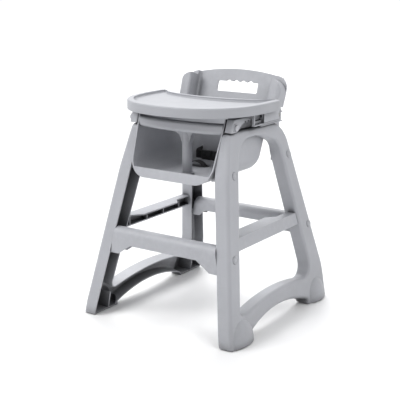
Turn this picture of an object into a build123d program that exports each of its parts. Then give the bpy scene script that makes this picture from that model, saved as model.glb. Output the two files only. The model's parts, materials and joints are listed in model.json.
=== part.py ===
"""Stacking commercial baby high chair: leaning side frames, crossbars, bucket seat, restraint and tray.

Millimetres, +Z up. X = 0 is the plane of symmetry and the child faces -Y. The origin is on the floor,
under the middle of the chair's outline. Right-hand pieces lie at +X and left-hand ones mirror them.
"""
from build123d import *
import os
from math import atan, atan2, cos, sin, radians, degrees, pi

os.makedirs("parts", exist_ok=True)

# ---------------------------------------------------------------- driving dimensions
DEPTH = 594.0                # front of the front feet to the back of the rear feet
WIDTH = 594.0                # outside of the foot bulges
HEIGHT = 756.0               # floor to the top of the backrest
WALL = 4.0                   # moulded wall
GAP = 0.4                    # air between neighbouring mouldings

# side frames: a channel whose outer skin leans inwards going up
LEAN_SLOPE = 0.17
LEAN = atan(LEAN_SLOPE)
SKIN_X0 = 284.0              # outer skin at floor level
FRAME_DEEP = 45.0            # channel depth along the skin's normal
FRAME_TOP = 611.0
SKIN_EDGE_R = 11.0           # rounding along the outer edges
PAD_T = 3.0                  # glide under each foot

# seat
SEAT_HALF_500 = 151.0        # outside half width at height 500
SEAT_FLARE = 0.062
FLOOR_Z = 456.0              # underside of the seat floor
SIDE_TOP = 648.0
BOWL_R = 60.0
BACK_Y_545 = 115.0           # back wall's rear face at height 545
BACK_SLOPE = 0.32
FRONT_Y_500 = -202.0         # front edge of the side walls at height 500
FRONT_SLOPE = 0.37

# fasteners: centre of each on the skin, as (y, z)
SEAT_BOLTS = [(-163.0, 487.0), (162.0, 500.0)]
BAR_BOLTS = [(-219.0, 252.0), (234.0, 258.0)]
CAP_R = 12.0
CAP_T = 4.0
CAP_PROUD = 3.0
BOLT_R = 4.0
HEAD_R = 7.0

# crossbars
BAR_HALF = 24.0              # half the channel's width, and the radius of its round top
FRONT_BAR = dict(y=-228.0, low=239.0, spring=266.0, gusset=207.0)
REAR_BAR = dict(y=217.0, low=252.0, spring=270.0, gusset=232.0)

# armrests and tray
ARM_IN = 161.5
ARM_OUT = 190.0
ARM_TOP = 652.0
ARM_REAR = 122.0
TRAY_TOP = 688.0
TRAY_H = 30.0
TRAY_HALF = 229.0
TRAY_FRONT = 235.0
TRAY_Y = -20.0
TRAY_REAR = 78.0
TRAY_PAN = 9.0               # depth of the recess in the top

# restraint bar
TBAR_Z = 618.0
TBAR_END_Y = -141.0
TBAR_BOW = 27.0
POST_Y = -118.0
POST_R = 15.5

# lap belt
WEB_W = 25.0
WEB_T = 2.0
SLOT_X = 92.0
SLOT_Z = 492.0

SIDE = Plane(origin=(SKIN_X0, 0, 0), x_dir=(0, 1, 0), z_dir=(cos(LEAN), 0, sin(LEAN)))
FAR = 900.0


# ---------------------------------------------------------------- helpers
def skin(y, z):
    """A point given as (y, z) on the outer skin, in the side plane's own coordinates."""
    return (y, z / cos(LEAN))


def on_side(y, z, inward=0.0):
    """A location on the skin, sunk inwards along its normal."""
    u, v = skin(y, z)
    return SIDE * Location((u, v, -inward))


def slab(x0, x1, y0, y1, z0, z1):
    """A box from its corners."""
    return Pos((x0 + x1) / 2, (y0 + y1) / 2, (z0 + z1) / 2) * Box(x1 - x0, y1 - y0, z1 - z0)


def rod(start, direction, radius, length):
    """A cylinder from a point along a direction."""
    return Plane(origin=start, z_dir=direction) * Cylinder(
        radius, length, align=(Align.CENTER, Align.CENTER, Align.MIN))


def prism(points, axis, low, high):
    """A polygon extruded along X or Y. Points are the other two coordinates in X, Y, Z order."""
    if axis == "x":
        corners = [(low, a, b) for a, b in points]
        sweep_dir = (high - low, 0, 0)
    else:
        corners = [(a, low, b) for a, b in points]
        sweep_dir = (0, high - low, 0)
    face = make_face(Polyline(*corners, close=True))
    return extrude(face, amount=abs(high - low), dir=Vector(*sweep_dir).normalized())


def seat_half(z):
    return SEAT_HALF_500 + SEAT_FLARE * (z - 500)


def back_y(z):
    return BACK_Y_545 + BACK_SLOPE * (z - 545)


def front_y(z):
    return FRONT_Y_500 + FRONT_SLOPE * (z - 500)


def mirrored(shape):
    return mirror(shape, about=Plane.YZ)


def save(name, shape):
    pieces = shape if isinstance(shape, (list, tuple, ShapeList)) else [shape]
    solids = [solid for piece in pieces for solid in piece.solids()]
    solid = solids[0] if len(solids) == 1 else Compound(children=list(solids))
    export_step(solid, f"parts/{name}.step")
    print(f"{name}: {len(solids)} solid(s), {sum(s.volume for s in solids) / 1000:.1f} cm3")


# ---------------------------------------------------------------- side frame
def rounded(face, corners):
    """Round the named corners of a side-plane face: each is (y, z, radius)."""
    for y, z, radius in corners:
        vertex = face.vertices().sort_by_distance(Vector(*skin(y, z), 0))[0]
        face = fillet(vertex, radius)
    return face


def frame_outline(grow=0.0):
    """Outer boundary of the frame in the side plane: two legs, the arched foot rail and the flat top."""
    half_d = DEPTH / 2
    low = -30.0
    line = [(-194, 18), (-194, low), (-half_d, low), (-half_d, 28), (-203.5, 478), (-163, FRAME_TOP),
            (152.8, FRAME_TOP), (half_d, 105), (half_d, low), (172, low), (172, 18)]
    edges = Polyline(*[skin(y, z) for y, z in line]).edges()
    edges += ThreePointArc(skin(172, 18), skin(-10, 57), skin(-194, 18)).edges()
    face = rounded(make_face(edges), [
        (-half_d, 28, 270), (-203.5, 478, 320), (-163, FRAME_TOP, 20), (152.8, FRAME_TOP, 99),
        (half_d, 105, 250), (172, 18, 14), (-194, 18, 14)])
    return offset(face, amount=-grow) if grow else face


def frame_window(grow=0.0):
    """The opening between the legs, from the foot rail's top to the crown of the arch."""
    line = [(222, 80), (115.4, 548), (12, 585), (-114, 582), (-229, 76)]
    edges = Polyline(*[skin(y, z) for y, z in line]).edges()
    edges += ThreePointArc(skin(-229, 76), skin(-6, 107), skin(222, 80)).edges()
    face = rounded(make_face(edges), [
        (222, 80, 42), (115.4, 548, 60), (12, 585, 200), (-114, 582, 82), (-229, 76, 18)])
    return offset(face, amount=grow) if grow else face


def frame_body(inset):
    """The frame as a solid block, inset from its outer surfaces, running inwards past the inner plane."""
    deep = FRAME_DEEP + (20 if inset else 0)
    profile = frame_outline(inset) - frame_window(inset)
    block = extrude(SIDE * (Pos(0, 0, -inset) * profile), amount=-(deep - inset))
    for loop, radius in ((0, SKIN_EDGE_R), (1, SKIN_EDGE_R - 2)):
        face = [f for f in block.faces() if abs(f.normal_at().dot(SIDE.z_dir) - 1) < 1e-6][0]
        edges = face.inner_wires()[0].edges() if loop else face.outer_wire().edges()
        block = fillet(edges, radius - inset)
    return block


def foot_bulge(y, half_length, inset=0.0):
    """A domed castor housing that stands proud of the skin at floor level."""
    rx, ry, rz = BULGE_DEEP - inset, half_length - inset, BULGE_TALL - inset
    return Pos(WIDTH / 2 - BULGE_DEEP, y, 0) * scale(Sphere(1.0), by=(rx, ry, rz))


BULGES = [(-229.0, 66.0), (235.0, 62.0)]     # middle and half length of each housing along Y
BULGE_DEEP = 34.0
BULGE_TALL = 77.0


def side_frame():
    outer = frame_body(0.0)
    core = frame_body(WALL)
    for y, half_length in BULGES:
        outer += foot_bulge(y, half_length)
        core += foot_bulge(y, half_length, WALL)
    inner_plane_cut = SIDE * (Pos(0, 0, -FRAME_DEEP - 200) * Box(2000, 2600, 400))
    outer -= inner_plane_cut
    core -= slab(-FAR, FAR, -FAR, FAR, -FAR, PAD_T + WALL)
    shell = outer - core
    # bosses that carry the bolts, from the skin to the inner plane
    for y, z in SEAT_BOLTS + BAR_BOLTS:
        shell += on_side(y, z, FRAME_DEEP / 2) * Cylinder(CAP_R + 4, FRAME_DEEP - 6) & outer
    # castor housing ribs: one across each foot
    for y, _ in BULGES:
        shell += slab(200, 300, y - 2, y + 2, PAD_T, 62) & outer
    for y, z in SEAT_BOLTS + BAR_BOLTS:
        shell -= on_side(y, z, -20) * Cylinder(CAP_R + GAP, 40 + 2 * 14, align=(Align.CENTER,) * 3)
        shell -= on_side(y, z, FRAME_DEEP / 2) * Cylinder(BOLT_R + GAP, FRAME_DEEP + 30)
    shell -= slab(-FAR, FAR, -FAR, FAR, -FAR, PAD_T)
    # the seat's side wall passes inside the top of the frame
    z_hi = 700
    shell -= prism([(0, 380), (seat_half(380) + GAP, 380), (seat_half(z_hi) + GAP, z_hi), (0, z_hi)],
                   "y", -FAR, FAR)
    return shell


# ---------------------------------------------------------------- crossbars and side rails
def channel_section(bar, inset, low):
    """An inverted U across the chair: round top, straight sides, flat or open foot."""
    r = BAR_HALF - inset
    y, spring = bar["y"], bar["spring"]
    side = Polyline((0, y + r, spring), (0, y + r, low), (0, y - r, low), (0, y - r, spring))
    top = ThreePointArc((0, y - r, spring), (0, y, spring + r), (0, y + r, spring))
    return make_face(side.edges() + top.edges())


def between_frames(shape, clearance):
    """Clip a bar to the space between the two frames' inner planes."""
    beyond = SIDE * (Pos(0, 0, -FRAME_DEEP - clearance + 200) * Box(2000, 2600, 400))
    return shape - beyond - mirrored(beyond)


def crossbar(bar, bolt, ramp_in, ramp_out):
    """A channel with gusseted ends, closed by end plates that hold the threaded inserts."""
    half = 240
    block = Pos(-half, 0, 0) * extrude(channel_section(bar, 0, bar["gusset"]), amount=2 * half, dir=(1, 0, 0))
    hollow = Pos(-half, 0, 0) * extrude(
        channel_section(bar, WALL, bar["gusset"] - 20), amount=2 * half, dir=(1, 0, 0))
    below = bar["gusset"] - 60
    arch = prism([(-ramp_in, bar["low"]), (ramp_in, bar["low"]), (ramp_out, bar["gusset"]),
                  (ramp_out, below), (-ramp_out, below), (-ramp_out, bar["gusset"])], "y", -FAR, FAR)
    block = between_frames(block, GAP) - arch
    shell = block - between_frames(hollow, GAP + 6)
    y, z = bolt
    for flip in (False, True):
        boss = on_side(y, z, FRAME_DEEP + 14) * Cylinder(12, 27)
        bore = on_side(y, z, FRAME_DEEP + 10) * Cylinder(BOLT_R + 2.5, 40)
        if flip:
            boss, bore = mirrored(boss), mirrored(bore)
        shell = shell + (boss & block) - bore
    return shell


def side_rail():
    """A rail between the legs of one frame: outer plate, a top shelf that widens inwards, a lower lip."""
    low, high = 268.0, 306.0
    recess = 7.0                       # outer face sits this far inside the skin
    front_y0, rear_y0 = -196.0, 186.0
    outer_top = SKIN_X0 - LEAN_SLOPE * high - recess
    outer_low = SKIN_X0 - LEAN_SLOPE * low - recess
    shelf_in, lip_in = 172.0, 205.0
    plate = prism([(outer_low - WALL, low), (outer_low, low), (outer_top, high), (outer_top - WALL, high)],
                  "y", front_y0, rear_y0)
    shelf = prism([(shelf_in, high - WALL), (outer_top - 1, high - WALL), (outer_top, high), (shelf_in, high)],
                  "y", front_y0, rear_y0)
    lip = prism([(lip_in, low), (outer_low, low), (outer_low - 1, low + WALL), (lip_in, low + WALL)],
                "y", front_y0, rear_y0)
    rail = plate + shelf + lip
    for y in (-150.0, -60.0, 30.0, 120.0):
        rail += prism([(lip_in, low), (outer_low - 1, low), (outer_top - 1, high), (lip_in, high)],
                      "y", y - 1.5, y + 1.5)
    # the shelf narrows towards both ends
    narrow = 197.0
    for y0, y1, y2 in ((front_y0 - 20, -150.0, -118.0), (rear_y0 + 20, 96.0, 64.0)):
        notch = [(0, y0), (narrow, y0), (narrow, y1), (shelf_in - 2, y2), (0, y2)]
        face = make_face(Polyline(*[(x, y, low - 10) for x, y in notch], close=True))
        rail -= extrude(face, amount=80, dir=(0, 0, 1))
    # both ends stop at the legs' flanges
    window = extrude(SIDE * (Pos(0, 0, 60) * frame_window(-GAP)), amount=-300)
    return rail & window


# ---------------------------------------------------------------- seat
def bowl_block(inset):
    """The bowl as a solid: flared sides, rounded floor corners and a sloping back."""
    top = SIDE_TOP + (60 if inset else 0)
    low = FLOOR_Z + inset
    pts = [(-seat_half(low) + inset, low), (seat_half(low) - inset, low),
           (seat_half(top) - inset, top), (-seat_half(top) + inset, top)]
    y0, y1 = -300.0, 260.0
    face = make_face(Polyline(*[(x, y0, z) for x, z in pts], close=True))
    corners = face.vertices().sort_by(Axis.Z)[:2]
    block = extrude(fillet(corners, BOWL_R - inset), amount=y1 - y0, dir=(0, 1, 0))
    z_a, z_b = 380.0, 760.0
    block -= prism([(back_y(z_a) - inset, z_a), (500, z_a), (500, z_b), (back_y(z_b) - inset, z_b)],
                   "x", -FAR, FAR)
    back = block.faces().sort_by(Axis.Y)[-1]
    rim = [e for e in back.edges() if e.center().Z < top - 1]
    block = fillet(rim, BOWL_R - 6 - inset)
    if not inset:
        block -= prism([(front_y(z_a), z_a), (-500, z_a), (-500, z_b), (front_y(z_b), z_b)], "x", -FAR, FAR)
    return block


def seat_bowl():
    outer = bowl_block(0.0)
    shell = outer - bowl_block(WALL)
    # the front of the floor rises to a rolled lip
    half = seat_half(FLOOR_Z) - BOWL_R
    lip_y = front_y(FLOOR_Z + 6)
    rise = prism([(lip_y - 30, FLOOR_Z), (lip_y - 30, 486), (lip_y + 13, 484), (lip_y + 26, 479),
                  (-150, FLOOR_Z + WALL), (-150, FLOOR_Z)], "x", -half - 60, half + 60)
    under = prism([(lip_y + 5, FLOOR_Z - 9), (lip_y + 11, 478), (lip_y + 24, 473.5),
                   (-156, FLOOR_Z), (-156, FLOOR_Z - 9)], "x", -half, half)
    trim = prism([(-300, 380), (-208, 380), (-215.5, 461.5), (-206, 461.5), (-206, FLOOR_Z - 20),
                  (-300, FLOOR_Z - 20)], "x", -FAR, FAR)
    shell = shell + (rise & outer) - under - trim
    # bosses out to the frames at the front, mounting ears at the back
    start = FRAME_DEEP + GAP
    y, z = SEAT_BOLTS[0]
    boss = on_side(y, z, start) * Rot(X=180) * cyl(13, 0, 34) - bowl_block(WALL)
    bore = on_side(y, z, start) * Rot(X=180) * cyl(BOLT_R + 2.5, -5, INSERT_FRONT)
    ear_z = [(96, 600), (140, 566), (140, 478), (184, 478), (184, 532), (168, 612), (150, 640), (96, 640)]
    side_skin = prism([(seat_half(400) - WALL, 400), (seat_half(400), 400), (seat_half(700), 700),
                       (seat_half(700) - WALL, 700)], "y", -FAR, FAR)
    ear = prism(ear_z, "x", 100, 200) & side_skin
    y, z = SEAT_BOLTS[1]
    ear += on_side(y, z, start) * Rot(X=180) * cyl(12, 0, INSERT_REAR + 0.5)
    rear_bore = on_side(y, z, start) * Rot(X=180) * cyl(BOLT_R + 2.5, -5, INSERT_REAR + 5)
    right = boss + ear
    bores = bore + rear_bore
    shell = shell + right + mirrored(right) - bores - mirrored(bores)
    # T-bar screws through the side walls, belt slots through the back, socket for the post
    for x in (-SLOT_X, SLOT_X):
        shell -= slab(x - 3, x + 3, 60, 140, SLOT_Z - 15, SLOT_Z + 15)
    shell -= rod((-300, ARM_CAP[0], ARM_CAP[1]), (1, 0, 0), SCREW_R + GAP, 600)
    shell += Pos(0, POST_Y, FLOOR_Z) * Cylinder(POST_R + 6, 11, align=(Align.CENTER, Align.CENTER, Align.MIN))
    shell -= Pos(0, POST_Y, FLOOR_Z + 2) * Cylinder(POST_R + 0.3, 60, align=(Align.CENTER, Align.CENTER, Align.MIN))
    shell -= Pos(0, POST_Y, FLOOR_Z - 20) * Cylinder(3.4, 60, align=(Align.CENTER, Align.CENTER, Align.MIN))
    for x, drop in back_screws():
        shell -= place_back(Pos(x, 0, drop) * Rot(X=90) * Cylinder(BACK_SCREW_R + GAP / 4, 30))
    return shell


INSERT_FRONT, INSERT_REAR = 10.0, 7.5       # depth of the threaded inserts in the bowl's bosses
BACK_SCREW_X = (-100.0, 100.0)
BACK_SCREW_Z = (606.0, 632.0)
BACK_SCREW_R = 2.2
SCREW_R = 3.0
BACK_Z0 = 650.0
BACK_TILT = degrees(atan(BACK_SLOPE))
BACK_RIM = 18.0
BACK_HALF = 190.0
BACK_LOW = -30.0
BACK_CROWN = 24.0             # drop of the top edge from the middle to the sides
PANEL_HALF = 152.0            # the flat panel between the two bolsters
BOLSTER = 56.0                # how far the bolsters stand forward of the panel
BROW = 14.0                   # the same along the top edge, above the bolsters
BOLSTER_DROP = 15.0           # from the top edge down to the bolsters' tops
BOLSTER_REAR = -9.0           # rear edge of the outer side walls, from the panel's front
HANDLE = dict(half=77.0, low=35.0, high=70.0, collar=6.0)
FINGERS = [-36 + 27.5 * k for k in range(4)]
FINGER_R = 12.5
FINGER_DEEP = 5.0


def back_plan(inset, rear):
    """Plan of the backrest's front skin: a flat panel between two upright bolsters."""
    half = BACK_HALF - inset
    nose, step = -BOLSTER + inset, PANEL_HALF + inset
    right = [(step, inset), (step - 2, nose), (half, nose), (half, rear)]
    left = [(-x, y) for x, y in reversed(right)]
    face = make_face(Polyline(*right, *left, close=True))
    for x, y, radius in ((half, nose, 14 - inset), (step - 2, nose, 8 - inset), (step, inset, 8 + inset)):
        for sign in (-1, 1):
            vertex = face.vertices().sort_by_distance(Vector(sign * x, y, 0))[0]
            face = fillet(vertex, radius)
    return face


def back_outline(inset, drop=0.0):
    """Front view of the backrest as a slab through Y: crowned top with rounded corners."""
    high = (HEIGHT - BACK_Z0) / cos(radians(BACK_TILT)) - inset - drop
    half = BACK_HALF - inset
    shoulder = high - BACK_CROWN * (half / BACK_HALF) ** 2
    y = -80.0
    side = Polyline((half, y, shoulder), (half, y, 40), (half - 4, y, BACK_LOW + inset),
                    (4 - half, y, BACK_LOW + inset), (-half, y, 40), (-half, y, shoulder))
    crown = ThreePointArc((-half, y, shoulder), (0, y, high), (half, y, shoulder))
    face = make_face(side.edges() + crown.edges())
    corners = [v for v in face.vertices() if v.Z > shoulder - 1]
    return extrude(fillet(corners, 40 - inset), amount=160, dir=(0, 1, 0))


def back_screws():
    """Positions of the backrest screws in its own tilted plane: x and distance along the slope."""
    return [(x, (z - BACK_Z0) / cos(radians(BACK_TILT))) for x in BACK_SCREW_X for z in BACK_SCREW_Z]


def place_back(shape):
    return Pos(0, back_y(BACK_Z0) + GAP, BACK_Z0) * Rot(X=-BACK_TILT) * shape


def backrest():
    """A back-open pan with a carrying handle, standing on the bowl's rear wall."""
    tall = 220
    foot = ARM_TOP + GAP

    def block(inset, rear):
        column = Pos(0, 0, BACK_LOW) * extrude(back_plan(inset, rear), amount=tall, dir=(0, 0, 1))
        above = slab(-250, 250, -75, -BROW + inset, 30, tall) - back_outline(inset, BOLSTER_DROP)
        return (column & back_outline(inset)) - above

    outer = block(0.0, BACK_RIM)
    for side in (-1, 1):
        edge = side * (BACK_HALF - 15)
        outer -= slab(edge - 15, edge + 15, BOLSTER_REAR, BACK_RIM + 30, BACK_LOW - 10, tall)
    outer = place_back(outer) - slab(-300, 300, -100, 500, 500, foot) - slab(-300, 300, -100, 118, 500, foot + 9)
    inner = place_back(block(WALL, BACK_RIM + 30)) - slab(-300, 300, -100, 500, 500, foot + WALL)
    inner -= slab(-300, 300, -100, 118, 500, foot + 9 + WALL)
    pan = outer - inner
    half, low, high = HANDLE["half"], HANDLE["low"], HANDLE["high"]
    collar = slab(-half - WALL, half + WALL, 0, HANDLE["collar"], low - WALL, high + FINGER_DEEP + WALL)
    collar = fillet(collar.edges().filter_by(Axis.Y), 8)
    slot = slab(-half, half, -20, BACK_RIM + 20, low, high)
    slot = fillet(slot.edges().filter_by(Axis.Y), 5)
    for x in FINGERS:
        slot += Pos(x, 0, high + FINGER_DEEP - FINGER_R) * Rot(X=90) * Cylinder(FINGER_R, 80)
    # tongue that laps behind the bowl's back wall
    tongue = slab(-126, 126, 0, WALL, -56, 8)
    for x, drop in back_screws():
        tongue += Pos(x, WALL + 4, drop) * Rot(X=90) * Cylinder(6, 8)
        tongue -= Pos(x, 0, drop) * Rot(X=90) * Cylinder(BACK_SCREW_R + GAP / 4, 40)
    return pan + place_back(collar) - place_back(slot) + place_back(tongue)


# ---------------------------------------------------------------- armrests
ARM_CAP = (-142.0, 625.0)     # y, z of the armrest's end screw
TEETH = [-95.0 + 16 * k for k in range(4)]


def armrest():
    """An inverted U on top of one frame; its outer skirt is cut away under a row of notches."""
    front = front_y
    low, top = FRAME_TOP + GAP, ARM_TOP
    body = prism([(front(low), low), (ARM_REAR, low), (ARM_REAR, top), (front(top), top)], "x", ARM_IN, ARM_OUT)
    crest = [e for e in body.edges().filter_by(Axis.X) if e.center().Z > top - 1]
    body = fillet(crest, 8)
    body = fillet([e for e in body.edges() if e.center().Z > top - 9 and abs(e.center().Y) < 40], 5)
    hollow = prism([(front(low) + WALL, low - 5), (ARM_REAR - WALL, low - 5), (ARM_REAR - WALL, top - WALL),
                    (front(top) + WALL, top - WALL)], "x", ARM_IN + WALL, ARM_OUT - WALL)
    shell = body - hollow
    for y in (-100.0, -20.0, 60.0):
        shell += slab(ARM_IN + 1, ARM_OUT - WALL - 4 if y < -90 else ARM_OUT - 1, y - 1.5, y + 1.5,
                      top - 14, top - 2)
    # screw lug at the front, screwed through to the restraint bar
    y, z = ARM_CAP
    lug = rod((ARM_OUT - WALL, y, z), (1, 0, 0), 13.0, WALL + 1.5)
    lug &= prism([(front(600) + 1, 600), (0, 600), (0, 700), (front(700) + 1, 700)], "x", 0, 300)
    shell += lug
    sleeve = rod((ARM_IN + 1, y, z), (1, 0, 0), 6.5, ARM_OUT - ARM_IN - 2)
    shell += sleeve & body
    # flange on the frame's top and the bead the tray hooks under
    shell += slab(ARM_OUT - WALL, 196, -9, ARM_REAR, low, low + 3.5)
    shell += slab(ARM_OUT - 1, 196, -2, ARM_REAR, 640, 644)
    # opening with a notched upper edge
    edge = [(-137, 590), (-137, 612.5), (-124, 618), (-110, 630), (-100, 634)]
    for y in TEETH:
        edge += [(y, 634), (y + 3, 640), (y + 11, 640), (y + 13, 634)]
    edge += [(-4, 634), (-2, 628), (-9, 616), (-9, 590)]
    shell -= prism(edge, "x", ARM_OUT - WALL - 0.5, 230)
    return shell - rod((100, ARM_CAP[0], z), (1, 0, 0), SCREW_R + GAP, 200)


# ---------------------------------------------------------------- restraint bar
def restraint_t_bar():
    """One moulding: a cross bar bowed towards the tray on a post that rises from the seat floor."""
    half, deep, tall = 170.0, 12.0, 34.0
    end_y, mid_y = TBAR_END_Y, TBAR_END_Y - TBAR_BOW
    low = TBAR_Z - tall / 2

    def arc(offset):
        return ThreePointArc((-half, end_y + offset, low), (0, mid_y + offset, low), (half, end_y + offset, low))

    near, far = arc(-deep), arc(deep)
    ends = [Line(near @ 0, far @ 0), Line(near @ 1, far @ 1)]
    bar = extrude(make_face(near.edges() + far.edges() + [e.edge() for e in ends]), amount=tall, dir=(0, 0, 1))
    long_edges = [e for e in bar.edges() if e.length > 300]
    bar = fillet(long_edges, 11)
    # post rising, then curving forwards into the bar
    turn = -mid_y + POST_Y
    knee = TBAR_Z - turn
    base = FLOOR_Z + 2 + GAP
    centre = (0, mid_y, knee)
    post = Pos(0, POST_Y, base) * Cylinder(POST_R, knee - base, align=(Align.CENTER, Align.CENTER, Align.MIN))
    elbow = Pos(0, POST_Y, knee) * Circle(POST_R)
    post += revolve(elbow, Axis(centre, (1, 0, 0)), 90)
    # webs flaring from the post into the bar
    flare = Polyline((0, -400, knee - 6), (POST_R - 1, -400, knee - 6), (21, -400, knee + 16), (46, -400, low + 4),
                     (46, -400, TBAR_Z), (-46, -400, TBAR_Z), (-46, -400, low + 4), (-21, -400, knee + 16),
                     (1 - POST_R, -400, knee - 6), close=True)
    flare = extrude(make_face(flare), amount=500, dir=(0, 1, 0))
    sector = Pos(centre) * Rot(Y=90) * (Cylinder(turn + 10, 200) - Cylinder(turn - 10, 200))
    sector &= slab(-100, 100, mid_y - 1, 0, knee - 6, TBAR_Z + 10)
    tee = bar + post + (flare & sector)
    # the ends follow the bowl's flared sides
    side = prism([(seat_half(500) - WALL - GAP, 500), (300, 500), (300, 700), (seat_half(700) - WALL - GAP, 700)],
                 "y", -300, 0)
    tee = tee - side - mirrored(side)
    y, z = ARM_CAP
    screw = rod((90, y, z), (1, 0, 0), SCREW_R + GAP / 4, 100)
    tee = tee - screw - mirrored(screw)
    return tee - rod((0, POST_Y, base - 5), (0, 0, 1), SCREW_R + GAP / 4, 45)


# ---------------------------------------------------------------- tray and its running gear
def tray_front(inset, z, side):
    """Half of the tray's front edge: tangent arcs along a superellipse, from the middle to one side."""
    half, front = TRAY_HALF - inset, TRAY_FRONT - inset
    power, steps = 2.35, 5
    edges = []
    last, heading = Vector(0, TRAY_Y - front, z), Vector(side, 0, 0)
    for k in range(1, steps + 1):
        a = pi / 2 * k / steps
        point = Vector(side * half * sin(a) ** (2 / power), TRAY_Y - front * cos(a) ** (2 / power), z)
        arc = TangentArc(last, point, tangent=heading)
        edges.append(arc.edge())
        last, heading = point, arc % 1
    return edges, last


def tray_face(inset, z):
    """Plan of the tray: superellipse front, straight sides and a hollowed rear edge."""
    half, rear = TRAY_HALF - inset, TRAY_REAR - inset
    heel_x, heel_y = 178.0 - inset * 0.4, 34.0 - inset
    edges = []
    for side in (1, -1):
        front, end = tray_front(inset, z, side)
        edges += front
        edges.append(Edge.make_line(end, Vector(side * half, rear, z)))
        edges.append(Edge.make_line(Vector(side * half, rear, z), Vector(side * heel_x, heel_y, z)))
    edges += ThreePointArc((-heel_x, heel_y, z), (0, -4.0 - inset, z), (heel_x, heel_y, z)).edges()
    face = make_face(edges)
    for x, y, radius in ((half, rear, max(16 - inset, 4)), (heel_x, heel_y, 30 + inset)):
        for side in (1, -1):
            vertex = face.vertices().sort_by_distance(Vector(side * x, y, z))[0]
            face = fillet(vertex, radius)
    return face


GUIDE_Y0, GUIDE_Y1 = -63.0, 95.0
SHELF_Z = ARM_TOP + GAP
PAN_UNDER = TRAY_TOP - TRAY_PAN - WALL
GUIDE_SCREWS = [(182.0, y) for y in (-48.0, -16.0, 12.0)]
GUIDE_SCREW_R = 2.0


def tray():
    """A shallow dished tray: raised rim, pan, turned-down skirt."""
    low = TRAY_TOP - TRAY_H
    outer = extrude(tray_face(0, low), amount=TRAY_H, dir=(0, 0, 1))
    outer = fillet([e for e in outer.edges() if e.center().Z > TRAY_TOP - 0.1], 6)
    hollow = extrude(tray_face(WALL, low - 5), amount=PAN_UNDER - low + 5, dir=(0, 0, 1))
    dish = extrude(tray_face(19, TRAY_TOP - TRAY_PAN), amount=30, dir=(0, 0, 1))
    dish = fillet([e for e in dish.edges() if e.center().Z < TRAY_TOP - TRAY_PAN + 0.1], 7)
    body = outer - hollow - dish
    for x, y in GUIDE_SCREWS:
        for sign in (-1, 1):
            body -= Pos(sign * x, y, PAN_UNDER) * Cylinder(GUIDE_SCREW_R + GAP / 4, 5)
    return body


LATCH_PIN = (203.0, 87.0)      # x, y of the latch's upright hinge pin
LATCH_PIN_R = 1.5
LATCH_X0, LATCH_X1 = 200.6, 205.4


def tray_guide():
    """Runs on the armrest under one side of the tray: shelf, hooked web, latch frame and two rails."""
    y0, y1, z = GUIDE_Y0, GUIDE_Y1, SHELF_Z
    guide = slab(164, 199, y0, y1, z, z + WALL)
    guide += slab(196.8, 200, -5, y1, 633.5, z + WALL)
    guide += slab(191.6, 198, -5, y1 - 5, 633.5, 637.5)
    guide += slab(198, 204, y0, y0 + 6, 619, z + WALL)
    guide += slab(196.8, 206, y1 - 3.8, y1, 619, z + WALL)
    guide += slab(196.8, 206, y0, y1, 619, 622.6)
    guide += slab(196.8, 206, y1 - 13, y1, z + 0.6, z + WALL)
    for x in (167.0, 193.0):
        guide += slab(x, x + 3, y0, 20, z + 1, PAN_UNDER - GAP)
    for x, y in GUIDE_SCREWS:
        guide += Pos(x, y, z + 1) * Cylinder(5, PAN_UNDER - GAP - z - 1, align=(Align.CENTER, Align.CENTER, Align.MIN))
        guide -= Pos(x, y, z) * Cylinder(GUIDE_SCREW_R + GAP / 4, 80)
        guide -= Pos(x, y, z - 1) * Cylinder(3.8, 3.4, align=(Align.CENTER, Align.CENTER, Align.MIN))
    px, py = LATCH_PIN
    return guide - Pos(px, py, 630) * Cylinder(LATCH_PIN_R, 80)


def tray_latch():
    """A box lever hinged at its rear; its forward finger reaches towards the armrest's notches."""
    px, py = LATCH_PIN
    low, high = 623.2, 652.2
    box = slab(LATCH_X0, LATCH_X1, -5, 82.5, low, high)
    box = fillet(box.edges().filter_by(Axis.Z) + [e for e in box.edges() if e.center().X > LATCH_X1 - 0.1
                                                  and abs(e.center().Y - 38.75) < 1], 1.2)
    box -= slab(LATCH_X0 - 1, LATCH_X1 - 1.8, -3, 76, low + 2, high - 2)
    lever = box
    for z0, z1 in ((low, low + 9), (high - 9, high)):
        lever += Pos(px, py, z0) * Cylinder(2.7, z1 - z0, align=(Align.CENTER, Align.CENTER, Align.MIN))
        lever += slab(px - 2.2, px + 2.2, 81, py, z0, z1)
    lever += slab(193, LATCH_X1 - 1, -5, -2, 624, 632)
    lever += slab(193, 196, -52, -2, 624, 632)
    tip = [(-52, 193.5), (-52, ARM_OUT + GAP), (-47, ARM_OUT + GAP), (-43, 193.5)]
    face = make_face(Polyline(*[(x, y, 624) for y, x in tip], close=True))
    lever += extrude(face, amount=8, dir=(0, 0, 1))
    return lever - Pos(px, py, 630) * Cylinder(LATCH_PIN_R + 0.05, 80)


def latch_pin():
    px, py = LATCH_PIN
    return Pos(px, py, 619.2) * Cylinder(LATCH_PIN_R, 36.8, align=(Align.CENTER, Align.CENTER, Align.MIN))


def latch_spring():
    """A torsion coil around the latch pin, drawn as a sleeve between the two knuckles."""
    px, py = LATCH_PIN
    turns = []
    for k in range(5):
        ring = Pos(px, py, 633.4 + 2.0 * k) * Torus(2.25, 0.45)
        turns.append(ring)
    return turns


# ---------------------------------------------------------------- waist belt and buckle
BELT_Y = 34.0                 # the buckle lies across the seat at this depth
BUCKLE_X = -30.0              # middle of the buckle's housing
BELT_BEND = 30.0


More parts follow.
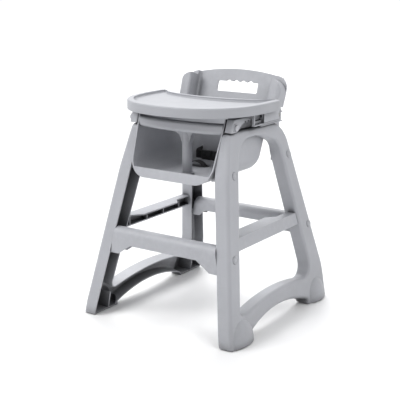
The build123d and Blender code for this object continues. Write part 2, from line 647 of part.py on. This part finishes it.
def strap(x_slot, x_end, towards):
    """From the anchor bar behind the bowl, through its slot, forwards and across to the buckle."""
    y_bar = 112.0
    y0 = y_bar - 5
    corner_y = BELT_Y + BELT_BEND
    points = [(x_slot, y0)]
    steps = 8
    for k in range(steps + 1):
        a = pi / 2 * k / steps
        points.append((x_slot + towards * BELT_BEND * (1 - cos(a)), corner_y - BELT_BEND * sin(a)))
    points.append((x_end, BELT_Y))
    shape = None
    for (xa, ya), (xb, yb) in zip(points, points[1:]):
        run = Vector(xb - xa, yb - ya, 0)
        turn = degrees(atan2(run.Y, run.X))
        piece = Pos((xa + xb) / 2, (ya + yb) / 2, SLOT_Z) * Rot(Z=turn) * Box(run.length, WEB_T, WEB_W)
        joint = Pos(xb, yb, SLOT_Z) * Cylinder(WEB_T / 2, WEB_W)
        shape = piece if shape is None else shape + piece
        shape += joint
    loop = Pos(x_slot, y_bar, SLOT_Z) * (Cylinder(5.4, WEB_W) - Cylinder(3.4, WEB_W + 2))
    return shape + loop


def anchor_bar(x):
    return Pos(x, 112, SLOT_Z) * Cylinder(3, 46)


def belt_tail():
    """The strap's free end, arched over the seat floor."""
    base = FLOOR_Z + WALL + GAP
    chord, rise = 66.0, 17.0
    y = 14.0
    outer = ThreePointArc((-80, y, base), (-80 + chord / 2, y, base + rise), (-80 + chord, y, base))
    inner = ThreePointArc((-78, y, base), (-80 + chord / 2, y, base + rise - WEB_T), (-82 + chord, y, base))
    feet = [Edge.make_line(outer @ 0, inner @ 0), Edge.make_line(outer @ 1, inner @ 1)]
    return extrude(make_face(outer.edges() + inner.edges() + feet), amount=WEB_W, dir=(0, -1, 0))


def buckle_housing():
    x, y, z = BUCKLE_X, BELT_Y, SLOT_Z
    body = fillet((Pos(x, y, z) * Box(36, 13, 32)).edges(), 2.5)
    body -= Pos(x + 6, y, z) * Box(34, 7, 24)
    body -= Pos(x - 6, y - 5, z) * Rot(X=90) * Cylinder(6.4, 12)
    return body - Pos(x - 15, y, z) * Box(8, WEB_T + 0.6, WEB_W + 0.6)


def buckle_button():
    x, y, z = BUCKLE_X, BELT_Y, SLOT_Z
    cap = Pos(x - 6, y - 5.3, z) * Rot(X=90) * Cylinder(6.0, 4.4)
    return fillet(cap.edges().sort_by(Axis.Y)[0], 0.8)


def buckle_spring():
    x, y, z = BUCKLE_X, BELT_Y, SLOT_Z
    return [Pos(x - 6, y - 2.4 + 1.2 * k, z) * Rot(X=90) * Torus(3.6, 0.45) for k in range(5)]


def buckle_tongue():
    x, y, z = BUCKLE_X, BELT_Y, SLOT_Z
    head = fillet((Pos(x + 32, y, z) * Box(26, 11, 32)).edges(), 2.5)
    blade = Pos(x + 14, y, z) * Box(14, 5.6, 22)
    return head + blade - Pos(x + 42, y, z) * Box(8, WEB_T + 0.6, WEB_W + 0.6)


# ---------------------------------------------------------------- fasteners and feet
def along_skin(y, z, shapes):
    """Place pieces built along local Z (inward positive) on the skin at y, z; then mirror them too."""
    placed = [on_side(y, z) * Rot(X=180) * shape for shape in shapes]
    return placed + [mirrored(shape) for shape in placed]


def cyl(radius, start, end):
    return Pos(0, 0, start) * Cylinder(radius, end - start, align=(Align.CENTER, Align.CENTER, Align.MIN))


def bolt(length):
    """Socket-headed bolt whose head bottoms in the counterbore."""
    head = cyl(HEAD_R, 14 - 6.5, 14) - Pos(0, 0, 7) * extrude(RegularPolygon(3, 6), amount=4)
    return fillet(head.edges().sort_by(Axis.Z)[-1], 0.1) + cyl(BOLT_R, 14, 14 + length)


def bolt_cap():
    """A domed plug pressed into the counterbore."""
    disc = cyl(CAP_R, -CAP_PROUD, CAP_T)
    disc = fillet(disc.edges().sort_by(Axis.Z)[0], CAP_PROUD - 0.4)
    ring = Pos(0, 0, -CAP_PROUD) * (Cylinder(CAP_R - 3.6, 1.2) - Cylinder(CAP_R - 4.6, 2))
    return disc - ring - cyl(CAP_R - 3, 1.2, CAP_T + 1)


def insert(start, end):
    """Knurled brass sleeve around a bolt."""
    sleeve = cyl(BOLT_R + 2.4, start, end) - cyl(BOLT_R + 0.1, start - 1, end + 1)
    for k in (0.25, 0.5, 0.75):
        z = start + k * (end - start)
        sleeve -= Pos(0, 0, z) * (Cylinder(BOLT_R + 4, 0.8) - Cylinder(BOLT_R + 1.9, 2))
    return sleeve


def arm_screw():
    y, z = ARM_CAP
    head = rod((ARM_OUT + 1.7, y, z), (1, 0, 0), 6.0, 3.2)
    return head + rod((110, y, z), (1, 0, 0), SCREW_R, ARM_OUT + 2 - 110)


def arm_cap():
    y, z = ARM_CAP
    cup = rod((ARM_OUT + 1.7, y, z), (1, 0, 0), 9.0, 5.2)
    cup = fillet(cup.edges().sort_by(Axis.X)[-1], 1.6)
    return cup - rod((ARM_OUT, y, z), (1, 0, 0), 6.4, 5.2)


def foot_glide(front):
    y0, y1 = (-292, -199) if front else (177, 292)
    pad = slab(243, 281, y0, y1, 0, PAD_T)
    pad = fillet(pad.edges().filter_by(Axis.Z), 8)
    return chamfer(pad.faces().sort_by(Axis.Z)[0].edges(), 1)


def both(shape):
    return [shape, mirrored(shape)]


def flat(groups):
    return [shape for group in groups for shape in group]


if __name__ == "__main__":
    for name, make in (("side_frame", side_frame), ("side_rail", side_rail), ("armrest", armrest),
                       ("tray_guide", tray_guide), ("tray_latch", tray_latch), ("latch_pin", latch_pin)):
        right = make()
        save("right_" + name, right)
        save("left_" + name, mirrored(right))
    coil = latch_spring()
    save("right_latch_spring", coil)
    save("left_latch_spring", [mirrored(turn) for turn in coil])
    save("front_crossbar", crossbar(FRONT_BAR, BAR_BOLTS[0], 125, 172))
    save("rear_crossbar", crossbar(REAR_BAR, BAR_BOLTS[1], 150, 170))
    save("seat_bowl", seat_bowl())
    save("backrest", backrest())
    save("restraint_t_bar", restraint_t_bar())
    save("tray", tray())
    # fasteners
    seat_start = FRAME_DEEP + GAP
    save("seat_bolts", flat(along_skin(y, z, [bolt(38)]) for y, z in SEAT_BOLTS))
    save("crossbar_bolts", flat(along_skin(y, z, [bolt(52)]) for y, z in BAR_BOLTS))
    save("bolt_caps", flat(along_skin(y, z, [bolt_cap()]) for y, z in SEAT_BOLTS + BAR_BOLTS))
    depths = (INSERT_FRONT, INSERT_REAR)
    save("seat_inserts", flat(along_skin(y, z, [insert(seat_start + 0.2, seat_start + deep - 0.2)])
                              for (y, z), deep in zip(SEAT_BOLTS, depths)))
    save("crossbar_inserts", flat(along_skin(y, z, [insert(FRAME_DEEP + 1, FRAME_DEEP + 25)])
                                  for y, z in BAR_BOLTS))
    save("armrest_screws", both(arm_screw()))
    save("armrest_screw_caps", both(arm_cap()))
    save("post_screw", rod((0, POST_Y, FLOOR_Z - 4), (0, 0, 1), 7.0, 3.8)
         + rod((0, POST_Y, FLOOR_Z - 1), (0, 0, 1), SCREW_R, 38))
    back_screw = Pos(0, WALL + 8.2, 0) * Rot(X=-90) * cyl(4, 0, 2.6) + Rot(X=-90) * cyl(BACK_SCREW_R, -WALL, WALL + 9)
    save("backrest_screws", [place_back(Pos(x, 0, drop) * back_screw) for x, drop in back_screws()])
    guide_screw = cyl(3.5, 0.2, 2.2) + cyl(GUIDE_SCREW_R, 1, PAN_UNDER + 2 - SHELF_Z)
    save("tray_guide_screws", flat(both(Pos(x, y, SHELF_Z) * guide_screw) for x, y in GUIDE_SCREWS))
    save("foot_glides", flat(both(foot_glide(front)) for front in (True, False)))
    # waist belt
    save("left_belt_strap", strap(-SLOT_X, BUCKLE_X - 14, 1))
    save("right_belt_strap", strap(SLOT_X, BUCKLE_X + 40, -1))
    save("belt_anchor_bars", [anchor_bar(-SLOT_X), anchor_bar(SLOT_X)])
    save("belt_tail", belt_tail())
    save("buckle_housing", buckle_housing())
    save("buckle_button", buckle_button())
    save("buckle_spring", buckle_spring())
    save("buckle_tongue", buckle_tongue())
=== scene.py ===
"""Studio scene for a stackable moulded high chair. Metres, +Z up, the child faces -Y."""
import bpy
import json
from math import cos, pi, radians, sin
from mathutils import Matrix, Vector


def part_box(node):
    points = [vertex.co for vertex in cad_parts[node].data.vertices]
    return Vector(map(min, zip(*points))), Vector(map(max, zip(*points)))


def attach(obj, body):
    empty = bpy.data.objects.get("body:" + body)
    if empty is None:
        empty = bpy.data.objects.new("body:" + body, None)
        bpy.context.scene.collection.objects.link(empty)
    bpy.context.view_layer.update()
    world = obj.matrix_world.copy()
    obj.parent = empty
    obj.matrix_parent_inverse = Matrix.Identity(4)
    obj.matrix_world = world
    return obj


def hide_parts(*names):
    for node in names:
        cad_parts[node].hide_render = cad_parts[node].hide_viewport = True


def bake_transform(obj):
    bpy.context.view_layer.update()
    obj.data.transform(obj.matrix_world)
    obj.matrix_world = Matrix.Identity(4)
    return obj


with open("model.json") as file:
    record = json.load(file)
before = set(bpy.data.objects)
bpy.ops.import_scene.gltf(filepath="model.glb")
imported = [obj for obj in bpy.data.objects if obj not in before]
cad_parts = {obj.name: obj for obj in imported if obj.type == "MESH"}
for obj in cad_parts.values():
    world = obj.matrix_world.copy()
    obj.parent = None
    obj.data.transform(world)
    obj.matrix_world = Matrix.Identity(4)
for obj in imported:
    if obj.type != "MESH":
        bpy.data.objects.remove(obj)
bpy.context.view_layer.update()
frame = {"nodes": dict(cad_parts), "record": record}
nodes = frame["nodes"]


# ---------------------------------------------------------------- shader helpers
class Shader:
    """Builds one node material with few words."""

    def __init__(self, name):
        self.material = bpy.data.materials.new(name)
        self.material.use_nodes = True
        self.tree = self.material.node_tree
        self.tree.nodes.clear()
        self.output = self.tree.nodes.new("ShaderNodeOutputMaterial")
        self.surface = self.tree.nodes.new("ShaderNodeBsdfPrincipled")
        self.tree.links.new(self.surface.outputs[0], self.output.inputs[0])

    def link(self, source, target):
        self.tree.links.new(source, target)

    def feed(self, socket, value):
        """A number, colour or other socket into a socket."""
        if isinstance(value, bpy.types.NodeSocket):
            self.link(value, socket)
        else:
            socket.default_value = value

    def place(self, scale=(1, 1, 1), uv=False):
        """Object or UV coordinates, scaled per axis."""
        coords = self.tree.nodes.new("ShaderNodeTexCoord")
        mapping = self.tree.nodes.new("ShaderNodeMapping")
        mapping.inputs["Scale"].default_value = scale
        self.link(coords.outputs["UV" if uv else "Object"], mapping.inputs["Vector"])
        return mapping.outputs[0]

    def noise(self, scale, detail=3.0, rough=0.5, stretch=(1, 1, 1), uv=False):
        """Noise of about 0..1, with its middle near 0.5."""
        node = self.tree.nodes.new("ShaderNodeTexNoise")
        node.inputs["Scale"].default_value = scale
        node.inputs["Detail"].default_value = detail
        node.inputs["Roughness"].default_value = rough
        self.link(self.place(stretch, uv), node.inputs["Vector"])
        return node.outputs["Fac"]

    def cells(self, scale):
        """Distance to the nearest of a field of scattered points."""
        node = self.tree.nodes.new("ShaderNodeTexVoronoi")
        node.inputs["Scale"].default_value = scale
        self.link(self.place(), node.inputs["Vector"])
        return node.outputs["Distance"]

    def ramp(self, value, low, high, start=0.0, end=1.0):
        """Maps low..high onto start..end, clamped."""
        node = self.tree.nodes.new("ShaderNodeMapRange")
        self.link(value, node.inputs["Value"])
        node.inputs["From Min"].default_value = low
        node.inputs["From Max"].default_value = high
        node.inputs["To Min"].default_value = start
        node.inputs["To Max"].default_value = end
        return node.outputs[0]

    def math(self, kind, a, b=0.0):
        node = self.tree.nodes.new("ShaderNodeMath")
        node.operation = kind
        self.feed(node.inputs[0], a)
        self.feed(node.inputs[1], b)
        return node.outputs[0]

    def mix(self, factor, a, b):
        """Colour a where factor is 0, colour b where it is 1."""
        node = self.tree.nodes.new("ShaderNodeMix")
        node.data_type = "RGBA"
        color_a, color_b, color_out = 6, 7, 2
        self.feed(node.inputs["Factor"], factor)
        self.feed(node.inputs[color_a], a)
        self.feed(node.inputs[color_b], b)
        return node.outputs[color_out]

    def height(self):
        """Height above the floor in metres."""
        coords = self.tree.nodes.new("ShaderNodeTexCoord")
        split = self.tree.nodes.new("ShaderNodeSeparateXYZ")
        self.link(coords.outputs["Object"], split.inputs[0])
        return split.outputs["Z"]

    def edges(self, low, high):
        """1 on sharp outer edges, 0 on flat faces."""
        geometry = self.tree.nodes.new("ShaderNodeNewGeometry")
        return self.ramp(geometry.outputs["Pointiness"], low, high)

    def painted_shade_mask(self, reach, low, high):
        """Mask for painted shade: 0 deep inside hollows, 1 on open faces."""
        node = self.tree.nodes.new("ShaderNodeAmbientOcclusion")
        node.samples = 8
        node.inputs["Distance"].default_value = reach
        return self.ramp(node.outputs["AO"], low, high)

    def bump(self, value, strength, distance, under=None):
        """Relief from a height value, on top of another relief if one is given."""
        node = self.tree.nodes.new("ShaderNodeBump")
        node.inputs["Strength"].default_value = strength
        node.inputs["Distance"].default_value = distance
        self.link(value, node.inputs["Height"])
        if under is not None:
            self.link(under, node.inputs["Normal"])
        return node.outputs[0]

    def finish(self, color, rough, normal=None, metallic=0.0, **more):
        """Fills in the surface; more sets its other inputs by name."""
        self.feed(self.surface.inputs["Base Color"], color)
        self.feed(self.surface.inputs["Roughness"], rough)
        self.surface.inputs["Metallic"].default_value = metallic
        if normal is not None:
            self.link(normal, self.surface.inputs["Normal"])
        for key, value in more.items():
            self.surface.inputs[key.replace("_", " ")].default_value = value
        return self.material


def shade(color, factor):
    """The colour made darker or lighter by the factor."""
    return tuple(min(1.0, c * factor) for c in color[:3]) + (1.0,)


PAINTED_SHADE_REACH = 0.075    # walls closer than this get painted shade on the plastic between them


def moulded(name, color, rough, grain=1.0, scuff=0.35, dusty=False):
    """Satin moulded plastic: fine spark-eroded grain, flow mottling, worn edges, a few scuffs, and painted
    shade in hollows.
    """
    s = Shader(name)
    cloud = s.ramp(s.noise(7.0, 4.0, 0.55), 0.3, 0.7)
    tint = s.mix(cloud, shade(color, 0.965), shade(color, 1.03))
    speck = s.ramp(s.noise(900.0, 2.0), 0.35, 0.65)
    tint = s.mix(s.math("MULTIPLY", speck, 0.10), tint, shade(color, 0.80))
    worn = s.math("MULTIPLY", s.edges(0.52, 0.60), s.ramp(s.noise(60.0, 5.0, 0.7), 0.45, 0.62))
    tint = s.mix(s.math("MULTIPLY", worn, 0.30), tint, shade(color, 1.16))
    rub = s.ramp(s.noise(26.0, 8.0, 0.72, (1.0, 4.0, 1.6)), 0.60, 0.72)
    tint = s.mix(s.math("MULTIPLY", rub, 0.10 * scuff), tint, shade(color, 0.72))
    if dusty:
        low = s.ramp(s.height(), 0.16, 0.0)
        grime = s.math("MULTIPLY", low, s.ramp(s.noise(38.0, 6.0, 0.65), 0.40, 0.70))
        tint = s.mix(s.math("MULTIPLY", grime, 0.16), tint, (0.23, 0.21, 0.19, 1.0))
    # Painted shade: the plastic is darkened deep in hollows and channels, where shade falls.
    tint = s.mix(s.painted_shade_mask(PAINTED_SHADE_REACH, 0.22, 0.78), shade(color, 0.16), tint)
    gloss = s.ramp(s.noise(34.0, 5.0, 0.6), 0.3, 0.7, rough - 0.05, rough + 0.07)
    gloss = s.math("ADD", gloss, s.math("MULTIPLY", rub, 0.10 * scuff))
    fine = s.bump(s.cells(2300.0), 0.20 * grain, 0.00012)
    wave = s.bump(s.noise(420.0, 3.0, 0.6), 0.16 * grain, 0.00020, fine)
    flow = s.bump(s.noise(9.0, 2.0, 0.4), 0.10, 0.0012, wave)
    return s.finish(tint, gloss, flow, IOR=1.46)


def scratched_tray(name, color):
    """The same plastic with the fine crossing scratches of plates and cloths."""
    s = Shader(name)
    cloud = s.ramp(s.noise(5.0, 4.0, 0.55), 0.3, 0.7)
    tint = s.mix(cloud, shade(color, 0.975), shade(color, 1.02))
    speck = s.ramp(s.noise(900.0, 2.0), 0.35, 0.65)
    tint = s.mix(s.math("MULTIPLY", speck, 0.07), tint, shade(color, 0.82))
    along = s.ramp(s.noise(55.0, 6.0, 0.7, (0.5, 9.0, 1.0)), 0.63, 0.70)
    across = s.ramp(s.noise(48.0, 6.0, 0.7, (8.0, 0.6, 1.0)), 0.65, 0.72)
    marks = s.math("MAXIMUM", along, across)
    tint = s.mix(s.math("MULTIPLY", marks, 0.06), tint, shade(color, 1.15))
    gloss = s.ramp(s.noise(30.0, 5.0, 0.6), 0.3, 0.7, 0.42, 0.52)
    gloss = s.math("ADD", gloss, s.math("MULTIPLY", marks, 0.12))
    fine = s.bump(s.cells(2300.0), 0.14, 0.00010)
    marked = s.bump(marks, 0.10, 0.00012, fine)
    flow = s.bump(s.noise(7.0, 2.0, 0.4), 0.10, 0.0012, marked)
    return s.finish(tint, gloss, flow, IOR=1.47)


def metal(name, color, rough):
    """Turned metal: fine rings round the Z axis, a slightly uneven tone."""
    s = Shader(name)
    lines = s.noise(1.0, 3.0, 0.6, (40.0, 40.0, 900.0))
    tint = s.mix(s.ramp(s.noise(220.0, 4.0), 0.35, 0.7), shade(color, 0.82), shade(color, 1.05))
    gloss = s.ramp(lines, 0.3, 0.7, rough - 0.08, rough + 0.12)
    return s.finish(tint, gloss, s.bump(lines, 0.25, 0.00012), metallic=1.0)


def rubber(name, color):
    """Matt rubber with a dusty bloom."""
    s = Shader(name)
    tint = s.mix(s.ramp(s.noise(120.0, 5.0), 0.35, 0.7), shade(color, 0.8), shade(color, 1.5))
    gloss = s.ramp(s.noise(300.0), 0.3, 0.7, 0.70, 0.85)
    return s.finish(tint, gloss, s.bump(s.noise(1200.0, 3.0), 0.4, 0.0003))


WEFT_PITCH = 0.0021    # from rib to rib along the webbing
YARN_PITCH = 0.0034    # from yarn to yarn across it


def webbing(name, color):
    """Flat-woven strap: ribs across its width, yarns along it, paler fuzzy patches."""
    s = Shader(name)
    coords = s.tree.nodes.new("ShaderNodeTexCoord")
    split = s.tree.nodes.new("ShaderNodeSeparateXYZ")
    s.link(coords.outputs["UV"], split.inputs[0])
    run, side = split.outputs["X"], split.outputs["Y"]
    weft = s.math("SINE", s.math("MULTIPLY", run, 2 * pi / WEFT_PITCH))
    row = s.math("MULTIPLY", side, 2 * pi / YARN_PITCH)
    twill = s.math("SINE", s.math("ADD", row, s.math("MULTIPLY", run, pi / WEFT_PITCH)))
    yarn = s.math("MULTIPLY", s.math("ABSOLUTE", weft), s.math("ADD", s.math("MULTIPLY", twill, 0.5), 0.6))
    fibre = s.noise(1.0, 3.0, 0.6, (4200.0, 700.0, 1.0), uv=True)
    level = s.math("ADD", yarn, s.math("MULTIPLY", fibre, 0.35))
    tint = s.mix(s.ramp(level, 0.0, 1.2), shade(color, 0.4), shade(color, 1.5))
    fuzz = s.ramp(s.noise(45.0, 5.0, 0.6), 0.45, 0.75)
    tint = s.mix(s.math("MULTIPLY", fuzz, 0.25), tint, shade(color, 1.8))
    return s.finish(tint, 0.82, s.bump(level, 0.9, 0.0004), Sheen_Weight=0.06, Sheen_Roughness=0.5)


GREY = (0.405, 0.412, 0.440, 1.0)
MATERIALS = {
    "frame_plastic": moulded("frame_plastic", GREY, 0.43, dusty=True),
    "cap_plastic": moulded("cap_plastic", shade(GREY, 1.04), 0.38, grain=0.6),
    "tray_plastic": scratched_tray("tray_plastic", shade(GREY, 0.90)),
    "glide_rubber": rubber("glide_rubber", (0.045, 0.045, 0.048, 1.0)),
    "steel": metal("steel", (0.60, 0.60, 0.58, 1.0), 0.32),
    "brass": metal("brass", (0.72, 0.52, 0.22, 1.0), 0.30),
    "webbing": webbing("webbing", (0.010, 0.010, 0.011, 1.0)),
    "buckle_plastic": moulded("buckle_plastic", (0.014, 0.014, 0.015, 1.0), 0.36, scuff=1.0),
}
SLOT_OF = {entry["node"]: entry["material_slot"] for entry in frame["record"]["subparts"]}


def dress(piece, slot_name):
    """Gives the piece its one material."""
    piece.data.materials.clear()
    piece.data.materials.append(MATERIALS[slot_name])


for name, node in nodes.items():
    dress(node, SLOT_OF[name])


# ---------------------------------------------------------------- straps
MM = 0.001
BELT_WIDTH = 25 * MM
BELT_THICK = 1.5 * MM
LOOP_RADIUS = 4.6 * MM    # of the webbing round its anchor bar
LOOP_STEPS = 8
CURVE_STEPS = 24
EDGE_STEPS = 4


def smooth_path(points, count):
    """Catmull-Rom through the points, evenly spaced along its length, and that length."""
    pts = [Vector(p) for p in points]
    pts = [2 * pts[0] - pts[1]] + pts + [2 * pts[-1] - pts[-2]]
    dense = []
    for a, b, c, d in zip(pts, pts[1:], pts[2:], pts[3:]):
        for k in range(CURVE_STEPS):
            t = k / CURVE_STEPS
            dense.append(0.5 * (2 * b + (c - a) * t + (2 * a - 5 * b + 4 * c - d) * t * t
                                + (3 * b - a - 3 * c + d) * t ** 3))
    dense.append(pts[-2])
    runs = [0.0]
    for a, b in zip(dense, dense[1:]):
        runs.append(runs[-1] + (b - a).length)
    out, k = [], 0
    for n in range(count):
        target = runs[-1] * n / (count - 1)
        while k < len(runs) - 2 and runs[k + 1] < target:
            k += 1
        span = max(runs[k + 1] - runs[k], 1e-9)
        out.append(dense[k].lerp(dense[k + 1], (target - runs[k]) / span))
    return out, runs[-1]


def strap_outline(width, thick):
    """Cross-section of a strap: two round edges with three points on each flat."""
    half_w, half_t = width / 2, thick / 2
    edge = [-pi / 2 + pi * k / EDGE_STEPS for k in range(EDGE_STEPS + 1)]
    half = [(half_w - half_t + half_t * cos(a), half_t * sin(a)) for a in edge]
    half += [(half_w * u, half_t) for u in (0.7, 0.0, -0.7)]
    return half + [(-x, -y) for x, y in half]


def strap(name, points, across, count=150):
    """A flat woven strap with rounded edges along a path; across is its width direction."""
    path, length = smooth_path(points, count)
    across = Vector(across).normalized()
    ring = strap_outline(BELT_WIDTH, BELT_THICK)
    verts, faces, uvs = [], [], []
    n = len(ring)
    for i, p in enumerate(path):
        ahead = (path[min(i + 1, count - 1)] - path[max(i - 1, 0)]).normalized()
        w = (across - ahead * across.dot(ahead)).normalized()
        normal = ahead.cross(w)
        for x, y in ring:
            verts.append(p + w * x + normal * y)
            uvs.append((length * i / (count - 1), x))
    for i in range(count - 1):
        for j in range(n):
            a, b = i * n + j, i * n + (j + 1) % n
            faces.append((a, b, b + n, a + n))
    faces.append(tuple(reversed(range(n))))
    faces.append(tuple(range((count - 1) * n, count * n)))
    mesh = bpy.data.meshes.new(name)
    mesh.from_pydata([tuple(v) for v in verts], [], faces)
    layer = mesh.uv_layers.new(name="UVMap")
    for loop in mesh.loops:
        layer.data[loop.index].uv = uvs[loop.vertex_index]
    mesh.update()
    for polygon in mesh.polygons:
        polygon.use_smooth = len(polygon.vertices) == 4
    piece = bpy.data.objects.new(name, mesh)
    bpy.context.scene.collection.objects.link(piece)
    dress(piece, "webbing")
    return piece


bar_low, bar_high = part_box("belt_anchor_bars")
housing_low, housing_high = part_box("buckle_housing")
tongue_low, tongue_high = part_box("buckle_tongue")
belt_z = (housing_low.z + housing_high.z) / 2
belt_y = (housing_low.y + housing_high.y) / 2
bar_y = (bar_low.y + bar_high.y) / 2
slot_x = bar_high.x - 3 * MM


def waist_strap(name, side, end_x):
    """From a loop around the anchor bar, through the bowl's slot, round to the buckle."""
    x = side * slot_x
    flat_from = (38 if side < 0 else 44) * MM
    loop = []
    for k in range(LOOP_STEPS + 1):
        a = radians(-150 + 300 * k / LOOP_STEPS)
        loop.append((x - side * LOOP_RADIUS * sin(a), bar_y + LOOP_RADIUS * cos(a), belt_z))
    start = [(x + side * 1.3 * MM, bar_y - 16 * MM, belt_z), (x + side * 1.6 * MM, bar_y - 8 * MM, belt_z)]
    run = [(x - side * 1.6 * MM, bar_y - 8 * MM, belt_z),
           (x - side * 1.2 * MM, bar_y - 20 * MM, belt_z),
           (x - side * 2 * MM, bar_y - 38 * MM, belt_z - 1 * MM),
           (x - side * 9 * MM, belt_y + 17 * MM, belt_z - 2.5 * MM),
           (x - side * 24 * MM, belt_y + 3 * MM, belt_z - 2 * MM),
           (x - side * flat_from, belt_y, belt_z - 0.8 * MM),
           (end_x, belt_y, belt_z)]
    return strap(name, start + loop + run, (0, 0, 1))


tuck = 4.5 * MM    # how far a strap's end goes into the buckle
left = waist_strap("left_belt_webbing", -1, housing_low.x + tuck)
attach(left, "chair")
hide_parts("left_belt_strap")
right = waist_strap("right_belt_webbing", 1, tongue_high.x - tuck)
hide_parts("right_belt_strap")
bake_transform(right)

# The free end lies on the seat floor, hunched up in its middle.
tail_low, tail_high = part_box("belt_tail")
tail_y = (tail_low.y + tail_high.y) / 2
floor_z = tail_low.z + 0.4 * MM
peak = tail_high.z - 0.9 * MM
mid = (tail_low.x + tail_high.x) / 2
tail_points = [(tail_low.x - 8 * MM, tail_y + 1 * MM, floor_z + 0.6 * MM),
               (tail_low.x + 2 * MM, tail_y, floor_z + 1.2 * MM),
               (mid - 19 * MM, tail_y, peak - 4.5 * MM),
               (mid, tail_y, peak),
               (mid + 19 * MM, tail_y, peak - 4.5 * MM),
               (tail_high.x - 2 * MM, tail_y, floor_z + 1.2 * MM),
               (tail_high.x + 7 * MM, tail_y - 1 * MM, floor_z + 0.6 * MM)]
tail = strap("belt_tail_webbing", tail_points, (0, 1, 0), 110)
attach(tail, "chair")
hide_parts("belt_tail")


# ---------------------------------------------------------------- studio
def floor_material():
    """Plain pale studio paper."""
    s = Shader("studio_floor")
    tint = s.mix(s.ramp(s.noise(1.2, 3.0), 0.3, 0.7), (0.86, 0.86, 0.865, 1.0), (0.90, 0.90, 0.90, 1.0))
    return s.finish(tint, 0.65, s.bump(s.noise(180.0, 3.0), 0.08, 0.0004))


def studio_floor(near, far):
    """Ends near behind the chair, where the world is white too, and far on the camera's side."""
    corners = [(-near, -far, 0), (far, -far, 0), (far, near, 0), (-near, near, 0)]
    mesh = bpy.data.meshes.new("studio_floor")
    mesh.from_pydata(corners, [], [(0, 1, 2, 3)])
    mesh.materials.append(floor_material())
    piece = bpy.data.objects.new("studio_floor", mesh)
    bpy.context.scene.collection.objects.link(piece)


studio_floor(7.4, 40)


def softbox(name, place, aim, size, power):
    """A rectangular lamp at a place, turned to a point, with its power in watts."""
    lamp = bpy.data.lights.new(name, "AREA")
    lamp.shape = "RECTANGLE"
    lamp.size, lamp.size_y = size
    lamp.energy = power
    piece = bpy.data.objects.new(name, lamp)
    piece.location = place
    piece.rotation_euler = (Vector(aim) - Vector(place)).to_track_quat("-Z", "Y").to_euler()
    bpy.context.scene.collection.objects.link(piece)


AIM = (0, 0, 0.4)
softbox("key_left", (-1.4, -1.9, 2.6), AIM, (1.7, 1.5), 58)
softbox("fill_right", (1.9, -0.7, 2.3), AIM, (1.4, 1.6), 30)
softbox("backdrop_light", (-3.6, 5.2, 7.5), (-3.6, 5.2, 0), (5.0, 5.0), 640)

# The world is brightest behind the chair and dims towards the camera's side.
world = bpy.data.worlds.new("studio")
world.use_nodes = True
sky = world.node_tree
place = sky.nodes.new("ShaderNodeTexCoord")
facing = sky.nodes.new("ShaderNodeVectorMath")
facing.operation = "DOT_PRODUCT"
facing.inputs[1].default_value = Vector((-0.56, 0.80, 0.10)).normalized()
sky.links.new(place.outputs["Generated"], facing.inputs[0])
fade = sky.nodes.new("ShaderNodeMapRange")
fade.interpolation_type = "SMOOTHSTEP"
for socket, value in (("From Min", -0.30), ("From Max", 0.55), ("To Min", 0.26), ("To Max", 1.04)):
    fade.inputs[socket].default_value = value
sky.links.new(facing.outputs["Value"], fade.inputs["Value"])
backdrop = sky.nodes["Background"]
backdrop.inputs[0].default_value = (0.985, 0.99, 1.0, 1.0)
sky.links.new(fade.outputs[0], backdrop.inputs[1])
bpy.context.scene.world = world
bpy.context.scene.view_settings.view_transform = "Standard"

# A low three-quarter view, from a camera fitted to points of the chair.
lens = bpy.data.cameras.new("camera")
lens.sensor_width = 36.0
lens.lens = 81.8
lens.clip_end = 60.0
camera = bpy.data.objects.new("camera", lens)
camera.location = (1.5853, -2.3520, 1.0776)
camera.rotation_euler = Vector((-0.5493, 0.7980, -0.2477)).to_track_quat("-Z", "Y").to_euler()
bpy.context.scene.collection.objects.link(camera)
bpy.context.scene.camera = camera
